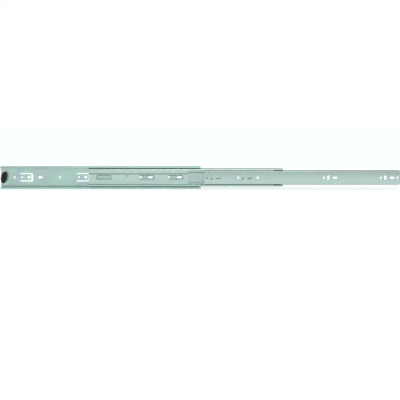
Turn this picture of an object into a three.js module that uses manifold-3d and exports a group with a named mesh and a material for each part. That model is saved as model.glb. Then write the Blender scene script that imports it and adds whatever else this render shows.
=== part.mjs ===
// A full-extension ball-bearing drawer slide: three telescoping steel members, two ball cages,
// the balls, a rear bumper and two front clips.
//
// Millimetres. X runs along the slide, towards the opening side, and Z is up. The cabinet
// member's back face lies on the plane Y = 0, centred on the origin. A depth is measured from
// that face towards the drawer, along -Y, and a height is measured from the screw line, Z = 0.
// The slide is drawn fully open.

import * as THREE from 'three';
import { mergeVertices } from 'three/addons/utils/BufferGeometryUtils.js';
import Module from 'manifold-3d';

const wasm = await Module();
wasm.setup();

// ---- Driving dimensions ----

const CLOSED_LENGTH = 400;
const INTERMEDIATE_LENGTH = 386;
const DRAWER_LENGTH = 393;
const INTERMEDIATE_TRAVEL = 162;
const DRAWER_TRAVEL = 238;

const CABINET_START = -CLOSED_LENGTH / 2;
const CABINET_END = CLOSED_LENGTH / 2;
const INTERMEDIATE_END = CABINET_END + INTERMEDIATE_TRAVEL;
const INTERMEDIATE_START = INTERMEDIATE_END - INTERMEDIATE_LENGTH;
const DRAWER_END = CABINET_END + INTERMEDIATE_TRAVEL + DRAWER_TRAVEL;
const DRAWER_START = DRAWER_END - DRAWER_LENGTH;

// Each ball track is a circle in the section, given as [depth, height] of the balls' centres.
const OUTER_TRACK = [6.1, 19.15];
const INNER_TRACK = [9.2, 15.0];
const OUTER_BALL_RADIUS = 2.0;
const INNER_BALL_RADIUS = 1.75;
const RACE_CLEARANCE = 0.15;
const OUTER_RACE = OUTER_BALL_RADIUS + RACE_CLEARANCE;
const DRAWER_RACE = INNER_BALL_RADIUS + 0.2;

// Cabinet member.
const CABINET_SHEET = 1.2;
const CABINET_HALF_HEIGHT = OUTER_TRACK[1] + OUTER_RACE + CABINET_SHEET;
const CABINET_CORNER = 3.0;
const CABINET_LIP_END_ANGLE = 5;

// Intermediate member. Its inner race touches the groove of the outer race.
const INTERMEDIATE_SHEET = 1.1;
const INTERMEDIATE_WEB = [2.9, 2.9 + INTERMEDIATE_SHEET];
const INTERMEDIATE_RIM_HEIGHT = 18.2;
const TRACK_SPAN = Math.hypot(INNER_TRACK[0] - OUTER_TRACK[0], INNER_TRACK[1] - OUTER_TRACK[1]);
const TRACK_SLOPE = degrees(INNER_TRACK[1] - OUTER_TRACK[1], INNER_TRACK[0] - OUTER_TRACK[0]);
const INNER_RACE_OUTSIDE = TRACK_SPAN - OUTER_RACE;
const INNER_RACE = INNER_RACE_OUTSIDE - INTERMEDIATE_SHEET;
const LIP_END_ANGLE = -15;
// The middle of the web is pressed forward: the slope starts and ends at these heights.
const STEP_RISE = 0.7;
const STEP_HEIGHTS = [8.6, 5.6];
const RAISED_WEB = INTERMEDIATE_WEB.map((depth) => depth + STEP_RISE);
const ACCESS_SLOT = { length: 30, width: 7, sink: 1.5 };

// Drawer member.
const DRAWER_SHEET = 1.2;
const DRAWER_WEB = [11.5, 11.5 + DRAWER_SHEET];
const SHOULDER_RADIUS = 2.0;
const SHOULDER_CENTRE = [DRAWER_WEB[1] - SHOULDER_RADIUS, 11.7];
const DRAWER_RIM_HEIGHT = 14.4;
const DRAWER_FLANGE_END = 6.4;
const DRAWER_NOSE = 3.0;
const DRAWER_CORNER_RADIUS = 4.0;

// Ball cages, pressed from thin strip. The balls' centres lie in the cages' flanges.
const CAGE_SHEET = 0.5;
const OUTER_CAGE = { start: -21.5, end: 195, web: 1.8, flangeEnd: 7.85, pocket: 2.2 };
const INNER_CAGE = { start: 175, end: 346, web: 5.2, flangeEnd: 10.75, pocket: 1.95 };
const OUTER_BALLS = { count: 17, first: -13.2, pitch: 12.19 };
const INNER_BALLS = { count: 15, first: 180.4, pitch: 11.04 };
// Three of every five inner pockets hold a ball here.
const FILLED_OF_FIVE = [0, 2, 4];

// Screw holes.
const SCREW_HOLE = 4.5;
const SLOT_LENGTH = 9.0;
const TAB_HOLE = 6.0;
const PILOT_HOLE = 4.0;

// Bumper and clips.
const BUMPER = { start: -199, end: -187, depth: [1.5, 10.5], halfHeight: 11.4, lean: 1.6 };
const CLIP = { start: 346.3, end: 363.5, inner: 1.95, outer: 3.0 };
const PART_GAP = 0.3;

// ---- Plane geometry ----

function degrees(rise, run) {
  return THREE.MathUtils.radToDeg(Math.atan2(rise, run));
}

function arc(centre, radius, fromAngle, toAngle, steps) {
  const points = [];
  for (let step = 0; step <= steps; step += 1) {
    const angle = THREE.MathUtils.degToRad(fromAngle + ((toAngle - fromAngle) * step) / steps);
    points.push([centre[0] + radius * Math.cos(angle), centre[1] + radius * Math.sin(angle)]);
  }
  return points;
}

// The angle at which a circle round a track crosses a given height, on its front or back side.
function angleAtHeight(centre, radius, height, side) {
  const rise = height - centre[1];
  const run = Math.sqrt(radius * radius - rise * rise);
  return degrees(rise, side === 'front' ? run : -run);
}

function angleAtDepth(centre, radius, depth) {
  const run = depth - centre[0];
  return degrees(-Math.sqrt(radius * radius - run * run), run);
}

function roundHole(x, z, diameter, steps = 12) {
  return arc([x, z], diameter / 2, 0, 360, steps).slice(0, -1);
}

function levelSlot(x, z, length, width, steps = 6) {
  const reach = (length - width) / 2;
  return [
    ...arc([x + reach, z], width / 2, -90, 90, steps),
    ...arc([x - reach, z], width / 2, 90, 270, steps),
  ];
}

function uprightSlot(x, z, length, width) {
  return levelSlot(z, x, length, width).map(([along, across]) => [across, along]);
}

function rectangle(x0, x1, z0, z1) {
  return [[x0, z0], [x1, z0], [x1, z1], [x0, z1]];
}

function mirrored(points) {
  return points.map(([x, z]) => [x, -z]).reverse();
}

// A channel's whole section from the half that lies above the screw line.
function channel(half) {
  return [...half, ...mirrored(half)];
}

// ---- Solids ----

function toSolid(geometry) {
  geometry.deleteAttribute('normal');
  geometry.deleteAttribute('uv');
  const merged = mergeVertices(geometry);
  return new wasm.Manifold(new wasm.Mesh({
    numProp: 3,
    vertProperties: new Float32Array(merged.attributes.position.array),
    triVerts: new Uint32Array(merged.index.array),
  }));
}

function toGeometry(solid) {
  const mesh = solid.getMesh();
  const geometry = new THREE.BufferGeometry();
  geometry.setAttribute('position', new THREE.BufferAttribute(mesh.vertProperties, 3));
  geometry.setIndex(new THREE.BufferAttribute(mesh.triVerts, 1));
  geometry.computeVertexNormals();
  return geometry;
}

// Turns the drawing plane of a section, (-depth, height), to the slide's YZ plane.
const SECTION_TO_SLIDE = new THREE.Matrix4().makeBasis(
  new THREE.Vector3(0, 1, 0),
  new THREE.Vector3(0, 0, 1),
  new THREE.Vector3(1, 0, 0),
);

function extruded(points, length) {
  const shape = new THREE.Shape(points.map(([x, y]) => new THREE.Vector2(x, y)));
  return new THREE.ExtrudeGeometry(shape, { depth: length, bevelEnabled: false });
}

// A section of [depth, height] points, drawn out along X.
function alongSlide(section, start, end) {
  const geometry = extruded(section.map(([depth, height]) => [-depth, height]), end - start);
  geometry.applyMatrix4(SECTION_TO_SLIDE);
  geometry.translate(start, 0, 0);
  return toSolid(geometry);
}

// An outline of [x, z] points, drawn out from one depth to another.
function throughDepth(outline, fromDepth, toDepth) {
  const geometry = extruded(outline, toDepth - fromDepth);
  geometry.rotateX(Math.PI / 2);
  geometry.translate(0, -fromDepth, 0);
  return toSolid(geometry);
}

// An outline of [x, depth] points, drawn out between two heights.
function betweenHeights(outline, low, high) {
  const geometry = extruded(outline.map(([x, depth]) => [x, -depth]), high - low);
  geometry.translate(0, 0, low);
  return toSolid(geometry);
}

function joined(solids) {
  return solids.reduce((whole, next) => whole.add(next));
}

function cut(solid, cutters) {
  return cutters.reduce((whole, cutter) => whole.subtract(cutter), solid);
}

function onBothSides(makeSolid) {
  return [makeSolid(1), makeSolid(-1)];
}

// ---- Sections ----

function cabinetSection() {
  const inside = CABINET_CORNER - CABINET_SHEET;
  const corner = [CABINET_CORNER, CABINET_HALF_HEIGHT - CABINET_CORNER];
  return channel([
    ...arc(corner, CABINET_CORNER, 180, 90, 4),
    ...arc(OUTER_TRACK, OUTER_RACE + CABINET_SHEET, 90, CABINET_LIP_END_ANGLE, 6),
    ...arc(OUTER_TRACK, OUTER_RACE, CABINET_LIP_END_ANGLE, 90, 6),
    ...arc(corner, inside, 90, 180, 4),
  ]);
}

function intermediateSection() {
  const [back, front] = INTERMEDIATE_WEB;
  const rimRadius = 1.0;
  const rim = [back + rimRadius, INTERMEDIATE_RIM_HEIGHT - rimRadius];
  const grooveInside = OUTER_RACE + INTERMEDIATE_SHEET;
  const grooveStart = angleAtHeight(OUTER_TRACK, OUTER_RACE, INTERMEDIATE_RIM_HEIGHT, 'back');
  const grooveFoot = angleAtDepth(OUTER_TRACK, grooveInside, front);
  const turn = TRACK_SLOPE + 180;
  const step = STEP_HEIGHTS.map((height, index) => [index * STEP_RISE, height]);
  return channel([
    ...step.map(([rise, height]) => [back + rise, height]).reverse(),
    ...arc(rim, rimRadius, 180, 90, 3),
    ...arc(OUTER_TRACK, OUTER_RACE, grooveStart, TRACK_SLOPE, 6),
    ...arc(INNER_TRACK, INNER_RACE_OUTSIDE, turn, LIP_END_ANGLE, 8).slice(1),
    ...arc(INNER_TRACK, INNER_RACE, LIP_END_ANGLE, turn, 8),
    ...arc(OUTER_TRACK, grooveInside, TRACK_SLOPE, grooveFoot, 4).slice(1),
    ...step.map(([rise, height]) => [front + rise, height]),
  ]);
}

function drawerSection() {
  const rimBack = angleAtHeight(INNER_TRACK, DRAWER_RACE, DRAWER_RIM_HEIGHT, 'back');
  const shoulderTop = SHOULDER_CENTRE[1] + SHOULDER_RADIUS;
  const rimFront = angleAtHeight(INNER_TRACK, DRAWER_RACE, shoulderTop, 'front');
  const grooveInside = DRAWER_RACE + DRAWER_SHEET;
  const flangeFoot = DRAWER_RIM_HEIGHT - DRAWER_SHEET;
  const insideStart = angleAtHeight(INNER_TRACK, grooveInside, flangeFoot, 'back');
  return channel([
    ...arc(SHOULDER_CENTRE, SHOULDER_RADIUS, 0, 90, 4),
    ...arc(INNER_TRACK, DRAWER_RACE, rimFront, rimBack, 7),
    [DRAWER_FLANGE_END + 0.4, DRAWER_RIM_HEIGHT],
    [DRAWER_FLANGE_END, DRAWER_RIM_HEIGHT - 0.4],
    [DRAWER_FLANGE_END, flangeFoot],
    ...arc(INNER_TRACK, grooveInside, insideStart, -60, 4),
    [DRAWER_WEB[0], SHOULDER_CENTRE[1]],
  ]);
}

function outerCageSection() {
  const radius = 1.5;
  const top = OUTER_TRACK[1] + CAGE_SHEET / 2;
  const corner = [OUTER_CAGE.web + radius, top - radius];
  return channel([
    ...arc(corner, radius, 180, 90, 3),
    [OUTER_CAGE.flangeEnd, top],
    [OUTER_CAGE.flangeEnd, top - CAGE_SHEET],
    ...arc(corner, radius - CAGE_SHEET, 90, 180, 3),
  ]);
}

// The inner cage's web is stepped forward between its two ledges.
function innerCageSection() {
  const radius = 1.2;
  const top = INNER_TRACK[1] + CAGE_SHEET / 2;
  const corner = [INNER_CAGE.web + radius, top - radius];
  const plate = INNER_CAGE.web + 1.8;
  return channel([
    [plate, 8.9],
    [INNER_CAGE.web, 9.6],
    ...arc(corner, radius, 180, 90, 3),
    [INNER_CAGE.flangeEnd, top],
    [INNER_CAGE.flangeEnd, top - CAGE_SHEET],
    ...arc(corner, radius - CAGE_SHEET, 90, 180, 3),
    [INNER_CAGE.web + CAGE_SHEET, 9.95],
    [plate + CAGE_SHEET, 9.25],
  ]);
}

// ---- Members ----

// A spring tab: the web inside a U-shaped cut that closes on the tab's front side.
function tabCut(root, front) {
  const leg = 1.2;
  const outside = 8.6;
  const inside = outside - 2 * leg;
  const bar = 4.0;
  const outerBend = 3.2;
  const innerBend = 1.4;
  const half = [
    ...arc([front - bar - innerBend, inside - innerBend], innerBend, 0, 90, 2),
    ...arc([root + leg, inside + leg], leg, 270, 90, 4),
    ...arc([front - outerBend, outside - outerBend], outerBend, 90, 0, 4),
  ];
  return channel(half);
}

// The C-shaped cut that keys the bumper to the web.
function bumperCut(gap) {
  const start = CABINET_START + 3 + gap;
  const end = CABINET_START + 10.4 - gap;
  const outside = 8.5 - gap;
  const stroke = 2.4 - 2 * gap;
  return [
    [end, outside], [start, outside], [start, -outside], [end, -outside],
    [end, -outside + stroke], [start + stroke, -outside + stroke],
    [start + stroke, outside - stroke], [end, outside - stroke],
  ];
}

// Small tongues are sheared from a web and bent up to stop a cage's end.
function tongue(root, tip, webBack, webFront, rise) {
  return [[root, webBack], [root, webFront], [tip, webFront + rise], [tip, webBack + rise]];
}

function makeCabinetMember() {
  const from = CABINET_START;
  const outlines = [
    roundHole(from + 27.5, 0, SCREW_HOLE),
    tabCut(from + 38, from + 64.5),
    roundHole(from + 42.3, 0, PILOT_HOLE),
    roundHole(from + 55.8, 0, TAB_HOLE),
    levelSlot(from + 79, 0, SLOT_LENGTH, SCREW_HOLE),
    roundHole(from + 118.5, 0, SCREW_HOLE),
    tabCut(from + 151.4, from + 179),
    roundHole(from + 156, 0, PILOT_HOLE),
    roundHole(from + 169.7, 0, TAB_HOLE),
    levelSlot(from + 277.8, 0, SLOT_LENGTH, SCREW_HOLE),
    tabCut(from + 293.5, from + 322),
    levelSlot(from + 299.5, 0, SLOT_LENGTH, SCREW_HOLE),
    roundHole(from + 312.5, 0, TAB_HOLE),
    levelSlot(from + 333.7, 0, SLOT_LENGTH, SCREW_HOLE),
    tabCut(from + 351.5, from + 380.5),
    levelSlot(from + 357.6, 0, SLOT_LENGTH, SCREW_HOLE),
    roundHole(from + 370, 0, TAB_HOLE),
    roundHole(from + 394.5, 0, 3.5),
    bumperCut(0),
    rectangle(from + 395.3, from + 399, 14.4, 16.6),
    rectangle(from + 395.3, from + 399, -16.6, -14.4),
  ];
  const rail = alongSlide(cabinetSection(), CABINET_START, CABINET_END);
  const stop = tongue(from + 399.4, from + 395.6, 0.1, CABINET_SHEET - 0.05, 1.35);
  const stops = onBothSides((side) => betweenHeights(stop, side * 15.5 - 0.9, side * 15.5 + 0.9));
  const cutters = outlines.map((outline) => throughDepth(outline, -1, CABINET_SHEET + 0.3));
  return joined([cut(rail, cutters), ...stops]);
}

// A slot whose rim is coined to a slope on the web's front face.
function sunkSlot(x) {
  const [back, front] = RAISED_WEB;
  const { length, width, sink } = ACCESS_SLOT;
  const mouth = levelSlot(x, 0, length + 2 * sink, width + 2 * sink, 8);
  const throat = levelSlot(x, 0, length, width, 8);
  const slope = wasm.Manifold.hull([
    throughDepth(mouth, front, front + 0.1),
    throughDepth(throat, back + 0.1, back + 0.2),
  ]);
  return slope.add(throughDepth(throat, back - 1, front + 1));
}

function makeIntermediateMember() {
  const [back, front] = RAISED_WEB;
  const sightHoles = [275, 313.6].map((x) => roundHole(x, 0, 9));
  const stopX = 50;
  const stopWindow = rectangle(stopX + 0.4, stopX + 5, 1.4, 4.6);
  const holes = [...sightHoles, stopWindow].map(
    (outline) => throughDepth(outline, back - 1, front + 1),
  );
  const accessSlots = [6.7, 92.5, 149.6].map(sunkSlot);
  // The lips are cut back at the front, where the clips sit.
  const clipSeats = onBothSides((side) => throughDepth(
    rectangle(CLIP.start - PART_GAP, INTERMEDIATE_END + 1, side * 15.4, side * 13),
    INNER_TRACK[0] + 0.6,
    DRAWER_WEB[1],
  ));
  const rail = alongSlide(intermediateSection(), INTERMEDIATE_START, INTERMEDIATE_END);
  const innerStop = betweenHeights(tongue(stopX, stopX + 4.6, back + 0.1, front - 0.05, 1.7), 2, 4);
  const stopFoot = INTERMEDIATE_WEB[0] + 0.3;
  const outerStop = rectangle(INTERMEDIATE_START + 0.2, INTERMEDIATE_START + 1.8, 1.9, stopFoot);
  const outerStops = onBothSides((side) => betweenHeights(outerStop, side * 15 - 1, side * 15 + 1));
  const lipStops = onBothSides((side) => throughDepth(
    roundHole(INTERMEDIATE_START + 6.5, side * 15.4, 2),
    11.7,
    12.6,
  ));
  const cutters = [...holes, ...accessSlots, ...clipSeats];
  return joined([cut(rail, cutters), innerStop, ...outerStops, ...lipStops]);
}

// Cutters that round the drawer member's two corners at one end, which faces along end * X.
function cornerCuts(x, end) {
  const radius = DRAWER_CORNER_RADIUS;
  const top = SHOULDER_CENTRE[1] + SHOULDER_RADIUS;
  const beyond = x + end * 2;
  const outline = [
    ...arc([x - end * radius, top - radius], radius, 90, 90 - end * 90, 5),
    [beyond, top - radius],
    [beyond, top + 2],
    [x - end * radius, top + 2],
  ];
  const wound = end > 0 ? outline : [...outline].reverse();
  return onBothSides((side) => throughDepth(
    side > 0 ? wound : mirrored(wound),
    DRAWER_FLANGE_END - 1,
    DRAWER_WEB[1] + 1,
  ));
}

function makeDrawerMember() {
  const from = DRAWER_START;
  const screwGroup = (x) => [
    roundHole(x, 0, SCREW_HOLE),
    uprightSlot(x + 8.6, 0, SLOT_LENGTH, SCREW_HOLE),
    levelSlot(x + 22.3, 0, SLOT_LENGTH, SCREW_HOLE),
  ];
  const outlines = [
    ...screwGroup(from + 5.8),
    ...screwGroup(from + 68),
    roundHole(from + 106.6, 0, SCREW_HOLE),
    ...screwGroup(from + 238.8),
    ...screwGroup(from + 352.4),
    roundHole(from + 385.2, 0, SCREW_HOLE),
  ];
  const cutters = outlines.map((outline) => throughDepth(outline, DRAWER_WEB[0] - 1, DRAWER_WEB[1] + 1));
  // The flanges stop short of the front end, and the corners are rounded.
  const flangeEnds = throughDepth(
    rectangle(DRAWER_END - DRAWER_NOSE, DRAWER_END + 1, -16, 16),
    DRAWER_FLANGE_END - 1,
    DRAWER_WEB[0],
  );
  const corners = [...cornerCuts(DRAWER_START, -1), ...cornerCuts(DRAWER_END, 1)];
  const rail = alongSlide(drawerSection(), DRAWER_START, DRAWER_END);
  return cut(rail, [...cutters, flangeEnds, ...corners]);
}

// ---- Cages and balls ----

function ballPositions(row) {
  return Array.from({ length: row.count }, (unused, index) => row.first + index * row.pitch);
}

// A pocket is a round cut through a cage's flange, open at the flange's edge.
function pocketCutters(row, track, radius) {
  return ballPositions(row).flatMap((x) => onBothSides((side) => {
    const outline = arc([x, track[0]], radius, 0, 360, 12).slice(0, -1);
    return betweenHeights(outline, side * track[1] - 1, side * track[1] + 1);
  }));
}

function makeCage(section, cage, row, track, windows) {
  const strip = alongSlide(section, cage.start, cage.end);
  const cutters = windows.map(([start, end, halfHeight]) => throughDepth(
    levelSlot((start + end) / 2, 0, end - start, 2 * halfHeight, 4),
    cage.web - 1,
    cage.web + 3.3,
  ));
  return cut(strip, [...cutters, ...pocketCutters(row, track, cage.pocket)]);
}

function makeOuterCage() {
  const windows = [[-14, 44, 10], [54, 117, 10], [127, 186, 10]];
  return makeCage(outerCageSection(), OUTER_CAGE, OUTER_BALLS, OUTER_TRACK, windows);
}

function makeInnerCage() {
  const windows = [[214, 250, 6], [264, 324, 6]];
  return makeCage(innerCageSection(), INNER_CAGE, INNER_BALLS, INNER_TRACK, windows);
}

function makeBall(radius) {
  return new THREE.SphereGeometry(radius, 8, 6);
}

// ---- Bumper and clips ----

function makeBumper() {
  const { start, end, depth, halfHeight, lean } = BUMPER;
  const middle = (start + end) / 2;
  const halfWidth = Math.sqrt(((end - start) / 2) ** 2 - lean ** 2);
  const steps = 24;
  const outline = Array.from({ length: steps }, (unused, index) => {
    const angle = (index / steps) * 2 * Math.PI;
    const height = halfHeight * Math.sin(angle);
    return [middle + halfWidth * Math.cos(angle) + (lean * height) / halfHeight, height];
  });
  const body = throughDepth(outline, depth[0], depth[1]);
  const relief = throughDepth(levelSlot(middle + 2.6, 0, 2.2, 1.6, 3), 5, depth[1] + 1);
  const key = throughDepth(bumperCut(PART_GAP), PART_GAP, depth[0] + 0.5);
  return joined([cut(body, [relief]), key]);
}

// A clip holds the front end of an intermediate lip: a strip along the lip's edge and an end plate.
function makeClip(side) {
  const half = (fromAngle, toAngle, steps) => {
    const outline = [
      ...arc(INNER_TRACK, CLIP.outer, fromAngle, toAngle, steps),
      ...arc(INNER_TRACK, CLIP.inner, toAngle, fromAngle, steps),
    ];
    return side > 0 ? outline : mirrored(outline);
  };
  const plateStart = INTERMEDIATE_END + PART_GAP;
  const edge = LIP_END_ANGLE + 1;
  const strip = alongSlide(half(4, edge, 3), CLIP.start, plateStart + 0.2);
  const plate = alongSlide(half(110, edge, 8), plateStart, CLIP.end);
  return joined([strip, plate]);
}

// ---- Finishes ----

function zincSteel(color, roughness) {
  return new THREE.MeshStandardMaterial({ color, metalness: 0.85, roughness });
}

function makeMaterials() {
  return {
    cabinetSteel: zincSteel(0xb2d3c6, 0.38),
    intermediateSteel: zincSteel(0xb9d0c8, 0.35),
    drawerSteel: zincSteel(0xb8cbc9, 0.4),
    cageSteel: zincSteel(0xa9c4c6, 0.4),
    ballSteel: new THREE.MeshStandardMaterial({ color: 0x8f9a9a, metalness: 1.0, roughness: 0.15 }),
    blackRubber: new THREE.MeshStandardMaterial({ color: 0x101612, metalness: 0.0, roughness: 0.6 }),
    blackPlastic: new THREE.MeshStandardMaterial({ color: 0x1b2420, metalness: 0.0, roughness: 0.45 }),
  };
}

// ---- Assembly ----

const group = new THREE.Group();
const materials = makeMaterials();

function place(name, geometry, material, position = [0, 0, 0]) {
  const mesh = new THREE.Mesh(geometry, material);
  mesh.name = name;
  mesh.position.set(...position);
  group.add(mesh);
}

function placeBalls(kind, row, track, radius, isFilled) {
  for (const [sideName, side] of [['upper', 1], ['lower', -1]]) {
    ballPositions(row).forEach((x, index) => {
      if (isFilled(index)) {
        const name = `${kind}_ball_${sideName}_${String(index + 1).padStart(2, '0')}`;
        place(name, makeBall(radius), materials.ballSteel, [x, -track[0], side * track[1]]);
      }
    });
  }
}

place('cabinet_member', toGeometry(makeCabinetMember()), materials.cabinetSteel);
place('rear_bumper', toGeometry(makeBumper()), materials.blackRubber);
place('outer_ball_cage', toGeometry(makeOuterCage()), materials.cageSteel);
placeBalls('outer', OUTER_BALLS, OUTER_TRACK, OUTER_BALL_RADIUS, () => true);
place('intermediate_member', toGeometry(makeIntermediateMember()), materials.intermediateSteel);
place('front_clip_upper', toGeometry(makeClip(1)), materials.blackPlastic);
place('front_clip_lower', toGeometry(makeClip(-1)), materials.blackPlastic);
place('inner_ball_cage', toGeometry(makeInnerCage()), materials.cageSteel);
placeBalls('inner', INNER_BALLS, INNER_TRACK, INNER_BALL_RADIUS,
  (index) => FILLED_OF_FIVE.includes(index % 5));
place('drawer_member', toGeometry(makeDrawerMember()), materials.drawerSteel);

export default group;
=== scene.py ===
"""Cabinet drawer slide, fully open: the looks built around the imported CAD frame.

Every size is in metres in Blender. Sections and outlines are drawn in millimetres: a section by
its depth from the cabinet member's back face and its height from the screw line, and an outline
in a web by its place along the slide and its height.
"""

import math
from collections import namedtuple

import bmesh
import bpy
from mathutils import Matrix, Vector


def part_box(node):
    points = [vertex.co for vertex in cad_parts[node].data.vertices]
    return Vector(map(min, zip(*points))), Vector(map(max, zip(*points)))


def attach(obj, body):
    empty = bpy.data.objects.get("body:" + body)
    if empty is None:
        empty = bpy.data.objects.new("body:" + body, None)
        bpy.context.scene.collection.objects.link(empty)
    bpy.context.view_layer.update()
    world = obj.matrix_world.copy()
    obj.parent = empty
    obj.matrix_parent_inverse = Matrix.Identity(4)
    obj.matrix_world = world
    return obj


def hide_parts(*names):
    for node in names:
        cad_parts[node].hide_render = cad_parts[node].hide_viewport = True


bl_info = {
    "name": "Ball-Bearing Drawer Slide",
    "version": (1, 0, 0),
    "blender": (4, 5, 0),
    "location": "View3D > Sidebar > Drawer Slide",
    "description": "Models a three-member ball-bearing drawer slide piece by piece",
    "category": "Add Mesh",
}

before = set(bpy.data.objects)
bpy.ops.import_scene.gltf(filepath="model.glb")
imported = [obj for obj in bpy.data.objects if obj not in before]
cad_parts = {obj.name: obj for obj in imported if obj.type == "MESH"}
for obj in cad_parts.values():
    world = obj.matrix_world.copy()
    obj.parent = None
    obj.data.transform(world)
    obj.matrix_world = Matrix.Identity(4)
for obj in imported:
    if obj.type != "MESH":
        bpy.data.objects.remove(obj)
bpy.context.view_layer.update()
bpy.ops.object.select_all(action="DESELECT")

MM = 0.001


# ---- Places taken from the frame, in millimetres ----


def span(node):
    """A node's first and last place along the slide."""
    low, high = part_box(node)
    return low.x / MM, high.x / MM


def ball_track(kind):
    """The depth and height of a row of balls, and the places of its balls along the slide."""
    names = sorted(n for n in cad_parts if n.startswith(f"{kind}_ball_upper"))
    boxes = [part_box(name) for name in names]
    middles = [(low + high) / 2 / MM for low, high in boxes]
    numbers = [int(name[-2:]) for name in names]
    pitch = (middles[-1].x - middles[0].x) / (numbers[-1] - numbers[0])
    places = [middles[0].x + index * pitch for index in range(numbers[-1])]
    return (-middles[0].y, middles[0].z), places


CABINET = span("cabinet_member")
INTERMEDIATE = span("intermediate_member")
DRAWER = span("drawer_member")
OUTER_CAGE = span("outer_ball_cage")
INNER_CAGE = span("inner_ball_cage")
BUMPER = span("rear_bumper")
CLIP = span("front_clip_upper")
OUTER_TRACK, OUTER_BALLS = ball_track("outer")
INNER_TRACK, INNER_BALLS = ball_track("inner")


# ---- Sizes and colours that a user would change ----


def hex_colour(text):
    """An sRGB hex colour as linear red, green, blue and alpha."""
    def linear(channel):
        return channel / 12.92 if channel <= 0.04045 else ((channel + 0.055) / 1.055) ** 2.4

    return [linear(int(text[i:i + 2], 16) / 255) for i in (1, 3, 5)] + [1.0]


def size_property(name, description, millimetres):
    return bpy.props.FloatProperty(
        name=name, description=description, default=millimetres * MM, unit="LENGTH", precision=5)


def colour_property(name, description, text):
    return bpy.props.FloatVectorProperty(
        name=name, description=description, default=hex_colour(text), size=4, subtype="COLOR",
        min=0.0, max=1.0)


class SlideSizes(bpy.types.PropertyGroup):
    """Sheet gauges, races and holes."""

    cabinet_gauge: size_property("Cabinet Gauge", "Thickness of the cabinet member's sheet", 1.2)
    middle_gauge: size_property("Middle Gauge", "Thickness of the intermediate member's sheet", 1.1)
    drawer_gauge: size_property("Drawer Gauge", "Thickness of the drawer member's sheet", 1.2)
    cage_gauge: size_property("Cage Gauge", "Thickness of the ball cages' strip", 0.5)
    outer_ball: size_property("Outer Ball", "Diameter of an outer ball", 4.0)
    inner_ball: size_property("Inner Ball", "Diameter of an inner ball", 3.5)
    screw_hole: size_property("Screw Hole", "Diameter of a screw hole and width of a slot", 4.5)
    slot_length: size_property("Slot Length", "Length of a screw slot", 9.0)
    edge_break: size_property("Edge Break", "Width of the rounding on a sheared edge", 0.12)


class SlideColours(bpy.types.PropertyGroup):
    """Tints of the plating, and the plastics."""

    zinc_green: colour_property("Green Tint", "Greenest tint of the passivated zinc", "#b9d8ca")
    zinc_blue: colour_property("Blue Tint", "Bluest tint of the passivated zinc", "#b7cbd0")
    zinc_teal: colour_property("Teal Tint", "Commonest tint of the passivated zinc", "#bad7cc")
    zinc_plain: colour_property("Plain Tint", "Tint of evenly passivated zinc", "#bdcfca")
    zinc_grey: colour_property("Grey Tint", "Pinkish grey tint of the passivated zinc", "#c6cac6")
    zinc_straw: colour_property("Straw Tint", "Yellowest tint of the passivated zinc", "#c8d2bd")
    # Grease and painted shade: this dark tone goes in the races and also stands in for the shade in
    # them and in the gaps between the members.
    grease_and_shade: colour_property("Grease", "Race grease, dark with worn metal", "#2f3834")
    ball: colour_property("Ball", "Polished chrome steel under a film of grease", "#66726e")
    rubber: colour_property("Rubber", "Moulded black rubber", "#0b100d")
    nylon: colour_property("Nylon", "Moulded black nylon", "#1f2b28")
    floor: colour_property("Floor", "Opal acrylic of the table", "#fbfcfd")
    table_glow: colour_property("Table Glow", "Light through the table", "#f5fdff")


def sizes():
    return bpy.context.scene.slide_sizes


def colours():
    return bpy.context.scene.slide_colours


# ---- Drawing with operators ----

Arc = namedtuple("Arc", "centre radius start end")
ARC_STEP = 9.0
TINY = 1e-4


def polar(arc, angle):
    turn = math.radians(angle)
    across, up = arc.centre
    return (across + arc.radius * math.cos(turn), up + arc.radius * math.sin(turn))


def first_point(stretch):
    return polar(stretch, stretch.start) if isinstance(stretch, Arc) else stretch


def last_point(stretch):
    return polar(stretch, stretch.end) if isinstance(stretch, Arc) else stretch


def mirrored(stretch):
    """The same stretch below the screw line, drawn backwards."""
    if isinstance(stretch, Arc):
        centre = (stretch.centre[0], -stretch.centre[1])
        return Arc(centre, stretch.radius, -stretch.end, -stretch.start)
    return (stretch[0], -stretch[1])


def both_halves(half):
    """A whole outline from the half of it above the screw line."""
    return [*half, *(mirrored(stretch) for stretch in reversed(half))]


def in_section(x):
    """Places (depth, height) in the plane that cuts the slide at x."""
    return lambda point: Vector((x, -point[0], point[1])) * MM


def in_web(depth):
    """Places (x, height) in the plane that lies at a depth."""
    return lambda point: Vector((point[0], -depth, point[1])) * MM


def extrude_by(offset):
    bpy.ops.mesh.extrude_region_move(TRANSFORM_OT_translate={"value": offset})


def draw_face(name, stretches, place, axis):
    """A new object holding one face. The pen starts as a plane merged to a point, is extruded
    along straight stretches and spun round arcs."""
    bpy.ops.object.select_all(action="DESELECT")
    pen = first_point(stretches[0])
    bpy.ops.mesh.primitive_plane_add(size=MM, location=place(pen))
    piece = bpy.context.object
    piece.name = name
    bpy.ops.object.transform_apply(location=True, rotation=True, scale=True)
    bpy.ops.object.mode_set(mode="EDIT")
    bpy.ops.mesh.select_mode(type="VERT")
    bpy.ops.mesh.select_all(action="SELECT")
    bpy.ops.mesh.merge(type="CENTER")
    for stretch in stretches:
        start = first_point(stretch)
        if math.dist(pen, start) > TINY:
            extrude_by(place(start) - place(pen))
        if isinstance(stretch, Arc):
            angle = stretch.end - stretch.start
            steps = max(2, math.ceil(abs(angle) / ARC_STEP))
            bpy.ops.mesh.spin(
                steps=steps, angle=math.radians(angle), center=place(stretch.centre), axis=axis)
        pen = last_point(stretch)
    bpy.ops.mesh.select_all(action="SELECT")
    if math.dist(pen, first_point(stretches[0])) > TINY:
        join_ends(piece)
    bpy.ops.mesh.remove_doubles(threshold=TINY * MM)
    bpy.ops.mesh.edge_face_add()
    return piece


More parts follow.
